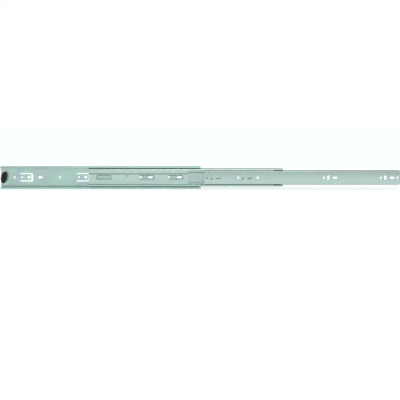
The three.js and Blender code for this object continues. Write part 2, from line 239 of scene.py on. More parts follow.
def join_ends(piece):
    """Bridges the pen's two loose ends with an edge."""
    select_where(piece, lambda vertex: len(vertex.link_edges) == 1)
    bpy.ops.mesh.edge_face_add()
    bpy.ops.mesh.select_all(action="SELECT")


def draw_solid(name, stretches, place, axis, offset):
    """A drawn face, extruded by an offset and closed."""
    piece = draw_face(name, stretches, place, axis)
    extrude_by(offset)
    bpy.ops.mesh.select_all(action="SELECT")
    bpy.ops.mesh.normals_make_consistent(inside=False)
    bpy.ops.object.mode_set(mode="OBJECT")
    return piece


def along_slide(name, section, start, end):
    """A section drawn out along the slide."""
    offset = Vector(((end - start) * MM, 0, 0))
    return draw_solid(name, section, in_section(start), (1, 0, 0), offset)


def through_web(name, outline, start, end):
    """An outline in a web drawn out from one depth to another."""
    offset = Vector((0, (start - end) * MM, 0))
    return draw_solid(name, outline, in_web(start), (0, 1, 0), offset)


def select_where(piece, test):
    """In edit mode, selects just the vertices that pass a test."""
    mesh = bmesh.from_edit_mesh(piece.data)
    for element in (*mesh.faces, *mesh.edges, *mesh.verts):
        element.select = False
    for vertex in mesh.verts:
        vertex.select = test(vertex)
    mesh.select_flush_mode()
    bmesh.update_edit_mesh(piece.data)


def select_only(*pieces):
    bpy.ops.object.select_all(action="DESELECT")
    for piece in pieces:
        piece.select_set(True)
    bpy.context.view_layer.objects.active = pieces[0]


def copy_at(piece, x, height=0.0):
    """A copy of a piece with its own mesh, moved along the slide and up."""
    select_only(piece)
    bpy.ops.object.duplicate(linked=False)
    bpy.ops.transform.translate(value=(x * MM, 0, height * MM))
    bpy.ops.object.transform_apply(location=True, rotation=True, scale=True)
    return bpy.context.object


def discard(*pieces):
    select_only(*pieces)
    bpy.ops.object.delete()


def combine(piece, others, operation):
    """Cuts the others from a piece or welds them to it, and removes them."""
    select_only(*others)
    if len(others) > 1:
        bpy.ops.object.join()
    tool = bpy.context.view_layer.objects.active
    select_only(piece)
    modifier = piece.modifiers.new("Combine", "BOOLEAN")
    modifier.operation = operation
    modifier.solver = "EXACT"
    modifier.object = tool
    bpy.ops.object.modifier_apply(modifier=modifier.name)
    discard(tool)
    if not piece.data.polygons:
        raise RuntimeError(f"nothing is left of {piece.name} after a Boolean {operation}")
    select_only(piece)


def cut(piece, tools):
    combine(piece, tools, "DIFFERENCE")


def weld(piece, tools):
    combine(piece, tools, "UNION")


def break_edges(piece, width, segments=2, angle=40):
    """Rounds a piece's sharp edges."""
    modifier = piece.modifiers.new("Edge Break", "BEVEL")
    modifier.width = width
    modifier.segments = segments
    modifier.limit_method = "ANGLE"
    modifier.angle_limit = math.radians(angle)
    modifier.miter_outer = "MITER_ARC"
    select_only(piece)
    bpy.ops.object.modifier_apply(modifier=modifier.name)


def finish_piece(piece, material, body, slot, *nodes, smooth=30):
    """Shades a piece, gives it its material, and ties it to the frame."""
    select_only(piece)
    bpy.ops.object.transform_apply(location=True, rotation=True, scale=True)
    bpy.ops.object.shade_smooth_by_angle(angle=math.radians(smooth))
    flat_faces = piece.modifiers.new("Flat Faces", "WEIGHTED_NORMAL")
    flat_faces.keep_sharp = True
    bpy.ops.object.modifier_apply(modifier=flat_faces.name)
    piece.data.materials.clear()
    piece.data.materials.append(material)
    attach(piece, body)
    if nodes:
        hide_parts(*nodes)
    bpy.ops.object.select_all(action="DESELECT")
    return piece


# ---- Outlines and sections ----


def round_hole(x, height, diameter):
    return [Arc((x, height), diameter / 2, 0, 360)]


def level_slot(x, height, length, width):
    reach = (length - width) / 2
    radius = width / 2
    return [Arc((x + reach, height), radius, -90, 90), Arc((x - reach, height), radius, 90, 270)]


def upright_slot(x, height, length, width):
    reach = (length - width) / 2
    radius = width / 2
    return [Arc((x, height + reach), radius, 0, 180), Arc((x, height - reach), radius, 180, 360)]


def rectangle(x0, x1, low, high):
    return [(x0, low), (x1, low), (x1, high), (x0, high)]


def angle_at_height(centre, radius, height, side):
    """The angle at which a circle crosses a height, on its front (1) or back (-1) side."""
    rise = height - centre[1]
    return math.degrees(math.atan2(rise, side * math.sqrt(radius ** 2 - rise ** 2)))


def angle_at_depth(centre, radius, depth):
    run = depth - centre[0]
    return math.degrees(math.atan2(-math.sqrt(radius ** 2 - run ** 2), run))


OUTER_RACE = 2.15
DRAWER_RACE = 1.95
CABINET_CORNER = 3.0
MIDDLE_BACK = 2.9
MIDDLE_RIM = 18.2
DRAWER_FACE = 12.7
SHOULDER = 2.0
SHOULDER_HEIGHT = 13.7
DRAWER_RIM = 14.4
DRAWER_FOOT = 6.4
LIP_END = -15
CABINET_LIP_END = 5
SLOT_REACH = 30
SLOT_WIDTH = 7
SLOT_SINK = 1.5
STEP_RISE = 0.7
STEP_OUTSIDE = 8.6
STEP_INSIDE = 5.6


def cabinet_section():
    gauge = sizes().cabinet_gauge / MM
    top = OUTER_TRACK[1] + OUTER_RACE + gauge
    corner = (CABINET_CORNER, top - CABINET_CORNER)
    return both_halves([
        Arc(corner, CABINET_CORNER, 180, 90),
        Arc(OUTER_TRACK, OUTER_RACE + gauge, 90, CABINET_LIP_END),
        Arc(OUTER_TRACK, OUTER_RACE, CABINET_LIP_END, 90),
        Arc(corner, CABINET_CORNER - gauge, 90, 180),
    ])


def middle_races():
    """The angle of the line between the two tracks, and the inner race's outside radius."""
    run = INNER_TRACK[0] - OUTER_TRACK[0]
    rise = INNER_TRACK[1] - OUTER_TRACK[1]
    return math.degrees(math.atan2(rise, run)), math.hypot(run, rise) - OUTER_RACE


def step_bends(face, upwards):
    """One side of the step between the web and its raised middle: two bends and their slope."""
    bend = 0.5
    slope = math.degrees(math.atan2(STEP_RISE, STEP_OUTSIDE - STEP_INSIDE))
    outer = Arc((face + bend, STEP_OUTSIDE + 0.1), bend, 180, 180 + slope)
    inner = Arc((face + STEP_RISE - bend, STEP_INSIDE - 0.1), bend, slope, 0)
    if upwards:
        return [Arc(inner.centre, bend, 0, slope), Arc(outer.centre, bend, 180 + slope, 180)]
    return [outer, inner]


def intermediate_section():
    gauge = sizes().middle_gauge / MM
    front = MIDDLE_BACK + gauge
    slope, race_outside = middle_races()
    rim = (MIDDLE_BACK + 1.0, MIDDLE_RIM - 1.0)
    groove_inside = OUTER_RACE + gauge
    groove_start = angle_at_height(OUTER_TRACK, OUTER_RACE, MIDDLE_RIM, -1)
    groove_foot = angle_at_depth(OUTER_TRACK, groove_inside, front)
    return both_halves([
        *step_bends(MIDDLE_BACK, upwards=True),
        Arc(rim, 1.0, 180, 90),
        Arc(OUTER_TRACK, OUTER_RACE, groove_start, slope),
        Arc(INNER_TRACK, race_outside, slope + 180, LIP_END),
        Arc(INNER_TRACK, race_outside - gauge, LIP_END, slope + 180),
        Arc(OUTER_TRACK, groove_inside, slope, groove_foot),
        *step_bends(front, upwards=False),
    ])


def drawer_section():
    gauge = sizes().drawer_gauge / MM
    shoulder = (DRAWER_FACE - SHOULDER, SHOULDER_HEIGHT - SHOULDER)
    groove_inside = DRAWER_RACE + gauge
    foot_height = DRAWER_RIM - gauge
    rim_front = angle_at_height(INNER_TRACK, DRAWER_RACE, SHOULDER_HEIGHT, 1)
    rim_back = angle_at_height(INNER_TRACK, DRAWER_RACE, DRAWER_RIM, -1)
    inside_start = angle_at_height(INNER_TRACK, groove_inside, foot_height, -1)
    toe = 0.4
    return both_halves([
        Arc(shoulder, SHOULDER, 0, 90),
        Arc(INNER_TRACK, DRAWER_RACE, rim_front, rim_back),
        Arc((DRAWER_FOOT + toe, DRAWER_RIM - toe), toe, 90, 180),
        (DRAWER_FOOT, foot_height),
        Arc(INNER_TRACK, groove_inside, inside_start, -60),
        (DRAWER_FACE - gauge, SHOULDER_HEIGHT - SHOULDER),
    ])


def outer_cage_section():
    gauge = sizes().cage_gauge / MM
    back, radius, flange_end = 1.8, 1.5, 7.85
    top = OUTER_TRACK[1] + gauge / 2
    corner = (back + radius, top - radius)
    return both_halves([
        Arc(corner, radius, 180, 90),
        (flange_end, top),
        (flange_end, top - gauge),
        Arc(corner, radius - gauge, 90, 180),
    ])


def inner_cage_section():
    gauge = sizes().cage_gauge / MM
    ledge, plate, radius, flange_end = 5.2, 7.0, 1.2, 10.75
    top = INNER_TRACK[1] + gauge / 2
    corner = (ledge + radius, top - radius)
    return both_halves([
        (plate, 8.9),
        (ledge, 9.6),
        Arc(corner, radius, 180, 90),
        (flange_end, top),
        (flange_end, top - gauge),
        Arc(corner, radius - gauge, 90, 180),
        (ledge + gauge, 9.95),
        (plate + gauge, 9.25),
    ])


def tab_outline(root, front):
    """The U-shaped cut that leaves a spring tab in the web."""
    leg, outside, bar, outer_bend, inner_bend = 1.2, 8.6, 4.0, 3.2, 1.4
    inside = outside - 2 * leg
    return both_halves([
        Arc((front - bar - inner_bend, inside - inner_bend), inner_bend, 0, 90),
        Arc((root + leg, inside + leg), leg, 270, 90),
        Arc((front - outer_bend, outside - outer_bend), outer_bend, 90, 0),
    ])


def bumper_outline(gap):
    """The C-shaped cut that keys the bumper to the web, or the key a gap smaller all round."""
    start, end = CABINET[0] + 3 + gap, CABINET[0] + 10.4 - gap
    outside, stroke = 8.5 - gap, 2.4 - 2 * gap
    return both_halves([
        (start + stroke, outside - stroke),
        (end, outside - stroke),
        (end, outside),
        (start, outside),
    ])


# ---- Materials ----


def add_node(tree, kind, links=None, **settings):
    """Adds a node. Settings name its properties or, in capitals, its input sockets; links
    give sockets their sources."""
    node = tree.nodes.new(kind)
    for name, value in settings.items():
        if hasattr(node, name) and not name[0].isupper():
            setattr(node, name, value)
        else:
            node.inputs[name.replace("_", " ")].default_value = value
    for socket, source in (links or {}).items():
        tree.links.new(source, node.inputs[socket])
    return node


def new_material(name):
    material = bpy.data.materials.new(name)
    material.use_nodes = True
    tree = material.node_tree
    tree.nodes.clear()
    output = tree.nodes.new("ShaderNodeOutputMaterial")
    shader = tree.nodes.new("ShaderNodeBsdfPrincipled")
    tree.links.new(shader.outputs["BSDF"], output.inputs["Surface"])
    return material, tree, shader


def set_ramp(node, stops):
    ramp = node.color_ramp
    while len(ramp.elements) > 1:
        ramp.elements.remove(ramp.elements[-1])
    ramp.elements[0].position, ramp.elements[0].color = stops[0]
    for position, colour in stops[1:]:
        ramp.elements.new(position).color = colour


def grease_and_shade_film(tree, place, tracks):
    """How much grease and painted shade lies at a place: all of it in the races, none beyond the
    sheet's far side. The dark film stands for grease and also paints the shade in the races and in
    the gaps between the members. Each track gives its centre, how far round it the film spreads,
    and its stretch in x."""
    axes = add_node(tree, "ShaderNodeSeparateXYZ", {"Vector": place})
    rise = add_node(tree, "ShaderNodeMath", {0: axes.outputs["Z"]}, operation="ABSOLUTE")
    section = add_node(tree, "ShaderNodeCombineXYZ", {"Y": axes.outputs["Y"], "Z": rise.outputs[0]})
    nearest = None
    for (depth, height), race, (start, end) in tracks:
        centre = add_node(tree, "ShaderNodeVectorMath", {0: section.outputs["Vector"]},
                          operation="DISTANCE")
        centre.inputs[1].default_value = in_section(0)((depth, height))
        beyond = add_node(tree, "ShaderNodeMath", {0: centre.outputs["Value"]},
                          operation="SUBTRACT")
        beyond.inputs[1].default_value = race * MM
        off_middle = add_node(tree, "ShaderNodeMath", {0: axes.outputs["X"]}, operation="SUBTRACT")
        off_middle.inputs[1].default_value = (start + end) / 2 * MM
        along = add_node(tree, "ShaderNodeMath", {0: off_middle.outputs[0]}, operation="ABSOLUTE")
        past_end = add_node(tree, "ShaderNodeMath", {0: along.outputs[0]}, operation="SUBTRACT")
        past_end.inputs[1].default_value = (end - start) / 2 * MM
        beyond = add_node(tree, "ShaderNodeMath", {0: beyond.outputs[0], 1: past_end.outputs[0]},
                          operation="MAXIMUM")
        if nearest is not None:
            beyond = add_node(tree, "ShaderNodeMath", {0: beyond.outputs[0], 1: nearest},
                              operation="MINIMUM")
        nearest = beyond.outputs[0]
    film = add_node(tree, "ShaderNodeMapRange", {"Value": nearest}, From_Min=0.02 * MM,
                    From_Max=0.3 * MM, To_Min=1.0, To_Max=0.0)
    return film.outputs["Result"]


def zinc_steel(name, shade, roughness, shift, tracks=(), patchiness=1.0, crown=0.0):
    """Cold-rolled steel, zinc plated and blue-clear passivated. The passivate is a thin
    interference film, so its tint drifts between green, teal, blue and straw over a few
    centimetres, and the rolling leaves faint streaks along the sheet. The races round the
    tracks are painted dark, partly for grease and partly as painted shade in the races and in
    the gaps between the members, and a crown is the slight arch that rolling leaves in a web."""
    material, tree, shader = new_material(name)
    tints = colours()
    place = add_node(tree, "ShaderNodeTexCoord").outputs["Object"]
    # Tint patches are about 45 mm long and half as tall.
    patches = add_node(tree, "ShaderNodeMapping", {"Vector": place},
                       Location=(shift, shift, shift), Scale=(22.0, 30.0, 40.0))
    tint_noise = add_node(tree, "ShaderNodeTexNoise", {"Vector": patches.outputs["Vector"]},
                          Scale=1.0, Detail=2.0, Roughness=0.45, Distortion=0.6)
    tint = add_node(tree, "ShaderNodeValToRGB", {"Fac": tint_noise.outputs["Fac"]})
    set_ramp(tint, [
        (0.30, tints.zinc_grey), (0.40, tints.zinc_green), (0.50, tints.zinc_teal),
        (0.60, tints.zinc_blue), (0.70, tints.zinc_straw)])
    even = add_node(tree, "ShaderNodeMix", {7: tint.outputs["Color"]},
                    data_type="RGBA", Factor=patchiness)
    even.inputs[6].default_value = tints.zinc_plain
    # Rolling streaks are 0.4 mm apart and many centimetres long, drawn coarser to show.
    streaks = add_node(tree, "ShaderNodeMapping", {"Vector": place}, Scale=(12.0, 900.0, 900.0))
    streak_noise = add_node(tree, "ShaderNodeTexNoise", {"Vector": streaks.outputs["Vector"]},
                            Scale=1.0, Detail=3.0, Roughness=0.6)
    streak_shade = add_node(tree, "ShaderNodeMapRange", {"Value": streak_noise.outputs["Fac"]},
                            From_Min=0.3, From_Max=0.7, To_Min=shade * 0.95, To_Max=shade)
    shaded = add_node(tree, "ShaderNodeVectorMath",
                      {0: even.outputs[2], 1: streak_shade.outputs["Result"]},
                      operation="MULTIPLY")
    colour = shaded.outputs["Vector"]
    # Painted shade as well as grease: the races are darkened for grease and for the shade that
    # falls in them and between the members.
    if tracks:
        greased_and_shaded = add_node(tree, "ShaderNodeMix", {"Factor": grease_and_shade_film(tree, place, tracks)},
                           data_type="RGBA")
        tree.links.new(colour, greased_and_shaded.inputs[6])
        greased_and_shaded.inputs[7].default_value = colours().grease_and_shade
        colour = greased_and_shaded.outputs[2]
    tree.links.new(colour, shader.inputs["Base Color"])
    streak_gloss = add_node(tree, "ShaderNodeMapRange", {"Value": streak_noise.outputs["Fac"]},
                            From_Min=0.3, From_Max=0.7,
                            To_Min=roughness - 0.05, To_Max=roughness + 0.05)
    tree.links.new(streak_gloss.outputs["Result"], shader.inputs["Roughness"])
    bump = add_node(tree, "ShaderNodeBump", {"Height": streak_noise.outputs["Fac"]},
                    Strength=0.05, Distance=0.00005)
    if crown:
        height = add_node(tree, "ShaderNodeSeparateXYZ", {"Vector": place}).outputs["Z"]
        square = add_node(tree, "ShaderNodeMath", {0: height, 1: height}, operation="MULTIPLY")
        arch = add_node(tree, "ShaderNodeBump", {"Height": square.outputs[0]}, Strength=1.0,
                        Distance=-crown)
        tree.links.new(arch.outputs["Normal"], bump.inputs["Normal"])
    tree.links.new(bump.outputs["Normal"], shader.inputs["Normal"])
    shader.inputs["Metallic"].default_value = 1.0
    return material


def ball_steel():
    """Through-hardened chrome steel, lapped to a mirror and filmed with clear grease, which
    dulls it in patches."""
    material, tree, shader = new_material("greased_chrome_steel")
    place = add_node(tree, "ShaderNodeTexCoord").outputs["Object"]
    # Grease patches are about a millimetre across.
    film = add_node(tree, "ShaderNodeTexNoise", {"Vector": place}, Scale=900.0, Detail=2.0)
    gloss = add_node(tree, "ShaderNodeMapRange", {"Value": film.outputs["Fac"]},
                     From_Min=0.4, From_Max=0.7, To_Min=0.08, To_Max=0.3)
    tree.links.new(gloss.outputs["Result"], shader.inputs["Roughness"])
    dull = add_node(tree, "ShaderNodeMix", {"Factor": film.outputs["Fac"]},
                    data_type="RGBA")
    dull.inputs[6].default_value = colours().ball
    dull.inputs[7].default_value = hex_colour("#3f4a46")
    tree.links.new(dull.outputs[2], shader.inputs["Base Color"])
    shader.inputs["Metallic"].default_value = 1.0
    return material


def moulded(name, colour, roughness, grain):
    """A moulded black polymer with a fine spark-eroded grain and faintly paler high spots."""
    material, tree, shader = new_material(name)
    place = add_node(tree, "ShaderNodeTexCoord").outputs["Object"]
    pits = add_node(tree, "ShaderNodeTexNoise", {"Vector": place}, Scale=1 / (grain * MM),
                    Detail=3.0)
    tone = add_node(tree, "ShaderNodeValToRGB", {"Fac": pits.outputs["Fac"]})
    pale = [min(1.0, channel * 2.2) for channel in colour[:3]] + [1.0]
    set_ramp(tone, [(0.35, colour), (0.75, pale)])
    tree.links.new(tone.outputs["Color"], shader.inputs["Base Color"])
    gloss = add_node(tree, "ShaderNodeMapRange", {"Value": pits.outputs["Fac"]},
                     From_Min=0.3, From_Max=0.7, To_Min=roughness - 0.08, To_Max=roughness + 0.08)
    tree.links.new(gloss.outputs["Result"], shader.inputs["Roughness"])
    bump = add_node(tree, "ShaderNodeBump", {"Height": pits.outputs["Fac"]},
                    Strength=0.25, Distance=0.00005)
    tree.links.new(bump.outputs["Normal"], shader.inputs["Normal"])
    shader.inputs["Specular IOR Level"].default_value = 0.3
    return material


TABLE_GLOW = 0.31


def light_table():
    """Opal acrylic lit from beneath, slightly cool, as small parts are laid out on."""
    material, tree, shader = new_material("opal_acrylic_table")
    place = add_node(tree, "ShaderNodeTexCoord").outputs["Object"]
    mottle = add_node(tree, "ShaderNodeTexNoise", {"Vector": place}, Scale=12.0, Detail=2.0)
    tone = add_node(tree, "ShaderNodeValToRGB", {"Fac": mottle.outputs["Fac"]})
    set_ramp(tone, [(0.3, colours().floor), (0.7, hex_colour("#ffffff"))])
    tree.links.new(tone.outputs["Color"], shader.inputs["Base Color"])
    shader.inputs["Roughness"].default_value = 0.9
    shader.inputs["Specular IOR Level"].default_value = 0.1
    shader.inputs["Emission Color"].default_value = colours().table_glow
    shader.inputs["Emission Strength"].default_value = TABLE_GLOW
    return material


# ---- Pieces ----


def tongue(root, tip, web_back, web_front, rise, middle, half_width):
    """A small tongue sheared from a web and bent up, as a section in x and depth."""
    outline = [(root, web_back), (root, web_front), (tip, web_front + rise), (tip, web_back + rise)]

    def place(point):
        return Vector((point[0], -point[1], middle - half_width)) * MM

    offset = Vector((0, 0, 2 * half_width * MM))
    return draw_solid("tongue", outline, place, (0, 0, 1), offset)


def copies_of(model, places):
    """Copies of a model at places (x, height), in the model's stead."""
    copies = [copy_at(model, *place) for place in places]
    discard(model)
    return copies


def hole_tools(outline, places, start, end):
    """Cutters for like holes: one is modelled at the origin and copied to its places."""
    return copies_of(through_web("hole", outline, start, end), places)


def sink_tool(front, depth):
    """A cutter that coins an access slot's rim to a slope, from the web's front face."""
    mouth = level_slot(0, 0, SLOT_REACH + 2 * SLOT_SINK, SLOT_WIDTH + 2 * SLOT_SINK)
    tool = draw_face("sink", mouth, in_web(front + 1), (0, 1, 0))
    extrude_by(Vector((0, MM, 0)))
    bpy.ops.mesh.inset(thickness=SLOT_SINK * MM, depth=0)
    bpy.ops.transform.translate(value=(0, depth * MM, 0))
    bpy.ops.mesh.select_all(action="SELECT")
    bpy.ops.mesh.normals_make_consistent(inside=False)
    bpy.ops.object.mode_set(mode="OBJECT")
    return tool


class SLIDE_OT_stage(bpy.types.Operator):
    """Lays the floor and sets the sky, the lights and the camera"""

    bl_idname = "slide.stage"
    bl_label = "Stage"

    def execute(self, context):
        add_floor()
        set_sky()
        add_lights()
        add_camera()
        return {"FINISHED"}


FLOOR_GAP = 0.3
SLIDE_MIDDLE = Vector((0.1988, -0.006, 0.0))


def add_floor():
    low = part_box("cabinet_member")[0]
    bpy.ops.mesh.primitive_plane_add(size=8.0, location=(0, 0, low.z - FLOOR_GAP * MM))
    floor = bpy.context.object
    floor.name = "studio_floor"
    floor.data.materials.append(light_table())


def set_sky():
    """A studio tent. Its wall dims a little above the horizon and its roof is brightest, and the
    camera itself sees plain white."""
    world = bpy.data.worlds.new("studio_tent")
    bpy.context.scene.world = world
    world.use_nodes = True
    tree = world.node_tree
    tree.nodes.clear()
    direction = add_node(tree, "ShaderNodeTexCoord").outputs["Generated"]
    height = add_node(tree, "ShaderNodeSeparateXYZ", {"Vector": direction}).outputs["Z"]
    glow = add_node(tree, "ShaderNodeValToRGB", {"Fac": height})
    set_ramp(glow, [
        (0.0, hex_colour("#d6dbda")), (0.16, hex_colour("#c2c8c6")),
        (0.4, hex_colour("#b4bbb9")), (1.0, hex_colour("#f6faf8"))])
    tent = add_node(tree, "ShaderNodeBackground", {"Color": glow.outputs["Color"]})
    white = add_node(tree, "ShaderNodeBackground", Color=hex_colour("#ffffff"))
    seen = add_node(tree, "ShaderNodeLightPath").outputs["Is Camera Ray"]
    mix = add_node(tree, "ShaderNodeMixShader", {
        "Fac": seen, 1: tent.outputs["Background"], 2: white.outputs["Background"]})
    output = tree.nodes.new("ShaderNodeOutputWorld")
    tree.links.new(mix.outputs["Shader"], output.inputs["Surface"])
    bpy.context.scene.view_settings.view_transform = "Standard"


def add_area_light(name, place, target, width, height, watts, colour):
    bpy.ops.object.light_add(type="AREA", location=place)
    light = bpy.context.object
    light.name = name
    light.data.shape = "RECTANGLE"
    light.data.size = width
    light.data.size_y = height
    light.data.energy = watts
    light.data.color = hex_colour(colour)[:3]
    aim = Vector(target) - Vector(place)
    light.rotation_euler = aim.to_track_quat("-Z", "Y").to_euler()


KEY_PLACE = (0.25, -1.0, 0.8)
KEY_WIDTH, KEY_HEIGHT = 0.7, 0.4
KEY_WATTS = 2.2


def add_lights():
    add_area_light("key", KEY_PLACE, SLIDE_MIDDLE, KEY_WIDTH, KEY_HEIGHT, KEY_WATTS, "#ffffff")


CAMERA_LENS = 85.0
SENSOR = 36.0
VIEW_WIDTH = 0.8
VIEW_RISE = 4.5
AIM_DROP = 0.0453


def add_camera():
    """Looks almost square on at the drawer side, from a little above."""
    distance = VIEW_WIDTH * CAMERA_LENS / SENSOR
    rise = math.radians(VIEW_RISE)
    place = SLIDE_MIDDLE + Vector((0, -math.cos(rise), math.sin(rise))) * distance
    bpy.ops.object.camera_add(location=place)
    camera = bpy.context.object
    camera.data.lens = CAMERA_LENS
    camera.data.sensor_width = SENSOR
    aim = SLIDE_MIDDLE - Vector((0, 0, AIM_DROP)) - place
    camera.rotation_euler = aim.to_track_quat("-Z", "Y").to_euler()
    camera.data.clip_start, camera.data.clip_end = 0.01, 50.0
    bpy.context.scene.camera = camera


# Spring tabs, each from its root to its front end, measured from the cabinet member's rear end.
SPRING_TABS = ((38, 64.5), (151.4, 179), (293.5, 322), (351.5, 380.5))
STOP_HEIGHT = 15.5


class SLIDE_OT_cabinet_member(bpy.types.Operator):
    """Folds the cabinet member, with its screw holes, spring tabs and stops"""

    bl_idname = "slide.cabinet_member"
    bl_label = "Cabinet Member"

    def execute(self, context):
        gauge = sizes().cabinet_gauge / MM
        hole, slot = sizes().screw_hole / MM, sizes().slot_length / MM
        start, end = CABINET
        rail = along_slide("cabinet_member_rail", cabinet_section(), start, end)
        web = (-1.0, gauge + 0.3)
        round_holes = [(start + x,) for x in (27.5, 118.5)]
        level_slots = [(start + x,) for x in (79, 277.8, 299.5, 333.7, 357.6)]
        tab_holes = [(start + x,) for x in (55.8, 169.7, 312.5, 370)]
        pilots = [(start + x,) for x in (42.3, 156)]
        tools = [
            *hole_tools(round_hole(0, 0, hole), round_holes, *web),
            *hole_tools(level_slot(0, 0, slot, hole), level_slots, *web),
            *hole_tools(round_hole(0, 0, 6.0), tab_holes, *web),
            *hole_tools(round_hole(0, 0, 4.0), pilots, *web),
            *hole_tools(round_hole(0, 0, 3.5), [(start + 394.5,)], *web),
            *(through_web("tab", tab_outline(start + root, start + front), *web)
              for root, front in SPRING_TABS),
            through_web("key", bumper_outline(0.0), *web),
            *(through_web("stop", rectangle(end - 4.7, end - 1, height - 1.1, height + 1.1), *web)
              for height in (STOP_HEIGHT, -STOP_HEIGHT)),
        ]
        cut(rail, tools)
        weld(rail, [tongue(end - 0.6, end - 4.4, 0.1, gauge - 0.05, 1.35, height, 0.9)
                    for height in (STOP_HEIGHT, -STOP_HEIGHT)])
        break_edges(rail, sizes().edge_break)
        # The race under each lip is painted dark: grease, and painted shade in the gap under the
        # lip.
        steel = zinc_steel("zinc_plated_steel_cabinet", 1.0, 0.38, 0.0,
                           [(OUTER_TRACK, OUTER_RACE, CABINET)])
        finish_piece(rail, steel, "cabinet", "cabinet_steel", "cabinet_member")
        return {"FINISHED"}


BUMPER_BACK = 1.5
BUMPER_LEAN = 1.6
BUMPER_ROUNDING = 1.4
BUMPER_GROOVES = (-6.5, -3.2, 3.2, 6.5)


def oval_block(name, x, half_width, half_height, back, front):
    """A leaning oval drawn out between two depths: a disc, stretched and then turned."""
    lean = BUMPER_LEAN
    flank = math.sqrt(half_width ** 2 - lean ** 2)
    # The principal radii and tilt of an oval whose upper end leans over by the given width.
    spread = math.hypot((half_height ** 2 - half_width ** 2) / 2, lean * half_height)
    mean = (half_height ** 2 + half_width ** 2) / 2
    tilt = math.atan2(2 * lean * half_height, half_height ** 2 - flank ** 2 - lean ** 2) / 2
    bpy.ops.object.select_all(action="DESELECT")
    bpy.ops.mesh.primitive_cylinder_add(
        vertices=72, radius=MM, depth=(front - back) * MM,
        location=(x * MM, -(front + back) / 2 * MM, 0), rotation=(math.radians(90), 0, 0))
    block = bpy.context.object
    block.name = name
    bpy.ops.object.transform_apply(location=True, rotation=True, scale=True)
    bpy.ops.object.mode_set(mode="EDIT")
    bpy.ops.mesh.select_all(action="SELECT")
    centre = (x * MM, 0, 0)
    bpy.ops.transform.resize(
        value=(math.sqrt(mean - spread), 1, math.sqrt(mean + spread)), center_override=centre)
    bpy.ops.transform.rotate(value=-tilt, orient_axis="Y", center_override=centre)
    bpy.ops.object.mode_set(mode="OBJECT")
    return block


class SLIDE_OT_rear_bumper(bpy.types.Operator):
    """Moulds the rear bumper, with its recess, its grooves and its key in the web"""

    bl_idname = "slide.rear_bumper"
    bl_label = "Rear Bumper"

    def execute(self, context):
        start, end = BUMPER
        low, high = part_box("rear_bumper")
        middle, half_width = (start + end) / 2, (end - start) / 2
        back, front = BUMPER_BACK, -low.y / MM
        body = oval_block("rear_bumper_body", middle, half_width, high.z / MM, back, front)
        break_edges(body, BUMPER_ROUNDING * MM, segments=4)
        # A moulded recess leaves a spring leg at the front, and grooves cross the face.
        cut(body, [through_web("recess", level_slot(middle + 2.6, 0, 2.2, 1.6), 5, front + 1)])
        cut(body, [through_web("groove", rectangle(middle - 9, middle + 9, z - 0.35, z + 0.35),
                               front - 0.6, front + 1) for z in BUMPER_GROOVES])
        weld(body, [through_web("key", bumper_outline(0.3), 0.3, back + 0.5)])
        break_edges(body, 0.15 * MM)
        finish_piece(body, moulded("moulded_black_rubber", colours().rubber, 0.45, 0.35),
                     "cabinet", "black_rubber", "rear_bumper")
        return {"FINISHED"}


# Each window's ends along the slide.
OUTER_WINDOWS = ((-14, 44), (54, 117), (127, 186))
INNER_WINDOWS = ((214, 250), (264, 324))


class SLIDE_OT_outer_cage(bpy.types.Operator):
    """Presses the outer ball cage, with its windows and its pockets"""

    bl_idname = "slide.outer_cage"
    bl_label = "Outer Cage"

    def execute(self, context):
        strip = along_slide("outer_ball_cage_strip", outer_cage_section(), *OUTER_CAGE)
        tools = [through_web("window", level_slot((a + b) / 2, 0, b - a, 20), 0.8, 5.1)
                 for a, b in OUTER_WINDOWS]
        cut(strip, [*tools, *pocket_tools(OUTER_TRACK, OUTER_BALLS, 2.2)])
        break_edges(strip, sizes().edge_break / 2, segments=1)
        # The strip beside the balls is painted dark: grease, and painted shade between the cabinet
        # member and the intermediate member.
        steel = cage_steel("zinc_plated_strip_outer", 3.0, (OUTER_TRACK, OUTER_RACE, CABINET))
        finish_piece(strip, steel, "outer_cage", "cage_steel", "outer_ball_cage")
        return {"FINISHED"}


class SLIDE_OT_inner_cage(bpy.types.Operator):
    """Presses the inner ball cage, with its raised plate, windows and pockets"""

    bl_idname = "slide.inner_cage"
    bl_label = "Inner Cage"

    def execute(self, context):
        strip = along_slide("inner_ball_cage_strip", inner_cage_section(), *INNER_CAGE)
        tools = [through_web("window", level_slot((a + b) / 2, 0, b - a, 12), 4.2, 8.5)
                 for a, b in INNER_WINDOWS]
        cut(strip, [*tools, *pocket_tools(INNER_TRACK, INNER_BALLS, 1.95)])
        break_edges(strip, sizes().edge_break / 2, segments=1)
        steel = cage_steel("zinc_plated_strip_inner", 5.0)
        finish_piece(strip, steel, "inner_cage", "cage_steel", "inner_ball_cage")
        return {"FINISHED"}


def cage_steel(name, shift, *tracks):
    return zinc_steel(name, 0.95, 0.35, shift, tracks, patchiness=0.4)


def pocket_tools(track, places, radius):
    """Short upright cutters for a cage's pockets, one modelled and the rest copied."""
    def place(point):
        return Vector((point[0], -point[1], track[1] - 1)) * MM

    outline = [Arc((0, track[0]), radius, 0, 360)]
    model = draw_solid("pocket", outline, place, (0, 0, 1), Vector((0, 0, 2 * MM)))
    return copies_of(model, [(x, height) for x in places for height in (0, -2 * track[1])])


